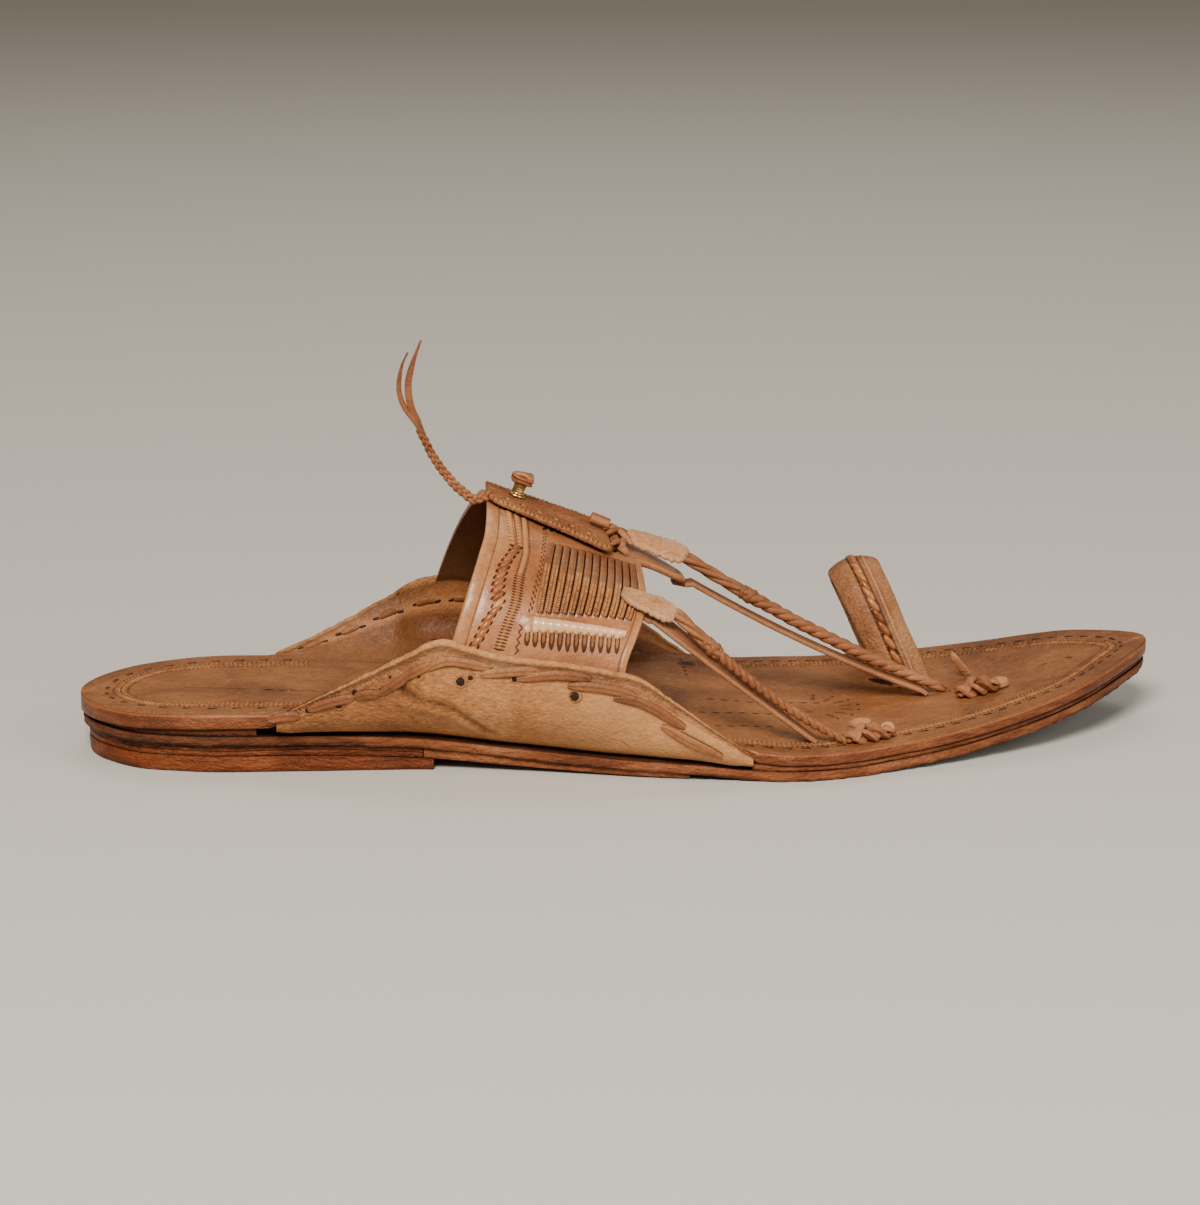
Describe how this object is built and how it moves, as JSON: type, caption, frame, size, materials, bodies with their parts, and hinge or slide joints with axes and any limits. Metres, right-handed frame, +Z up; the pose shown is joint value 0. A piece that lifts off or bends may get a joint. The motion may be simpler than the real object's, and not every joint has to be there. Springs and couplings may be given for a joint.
{
  "type": "kolhapuri sandal",
  "caption": "Open leather sandal for the right foot: pointed flat sole, winged sides laced to a slit instep band, plaited straps, toe loop and a standing plaited tail.",
  "frame": {"origin": "on the floor, under the middle of the sandal's length and width", "axes": "+X towards the toe, +Y towards the inner side of the foot, +Z up"},
  "size_m": [0.286, 0.1076, 0.1066],
  "materials": {
    "heel_lift_lower": "burnished stacked leather, rough edge",
    "heel_lift_upper": "burnished stacked leather, rough edge",
    "waist_strip": "burnished leather strip",
    "outsole": "burnished buffalo leather, rough edge",
    "heel_rand": "leather filler strip",
    "toe_rand": "leather filler strip",
    "insole": "smooth vegetable-tanned leather, tooled and stitched",
    "ear_cover_lateral": "fibrous golden tan leather",
    "ear_cover_medial": "fibrous golden tan leather",
    "instep_band": "half-gloss tan leather, slit, tooled and laced",
    "saddle_strap": "reddish suede-like leather with pinked edges",
    "stud": "polished brass",
    "stud_cap": "folded leather",
    "toggle": "rolled leather",
    "lashing": "twisted leather thong",
    "pad_lateral": "light suede",
    "pad_medial": "light suede",
    "braid_lateral": "plaited leather thong",
    "braid_medial": "plaited leather thong",
    "strap_lateral": "flat leather strap",
    "strap_medial": "flat leather strap",
    "toe_loop": "leather with a woven strip",
    "side_knot": "plaited leather knot",
    "front_knot": "plaited leather knot",
    "toe_tab": "cut leather tab",
    "plaited_tail": "plaited leather thong with split ends"
  },
  "bodies": {
    "root": {"heel_lift_lower": "heel_lift_lower", "heel_lift_upper": "heel_lift_upper", "waist_strip": "waist_strip", "outsole": "outsole", "heel_rand": "heel_rand", "toe_rand": "toe_rand", "insole": "insole", "ear_cover_lateral": "ear_cover_lateral", "ear_cover_medial": "ear_cover_medial", "instep_band": "instep_band", "saddle_strap": "saddle_strap", "stud": "stud", "stud_cap": "stud_cap", "toggle": "toggle", "lashing": "lashing", "pad_lateral": "pad_lateral", "pad_medial": "pad_medial", "braid_lateral": "braid_lateral", "braid_medial": "braid_medial", "strap_lateral": "strap_lateral", "strap_medial": "strap_medial", "toe_loop": "toe_loop", "side_knot": "side_knot", "front_knot": "front_knot", "toe_tab": "toe_tab", "plaited_tail": "plaited_tail"}
  },
  "joints": []
}
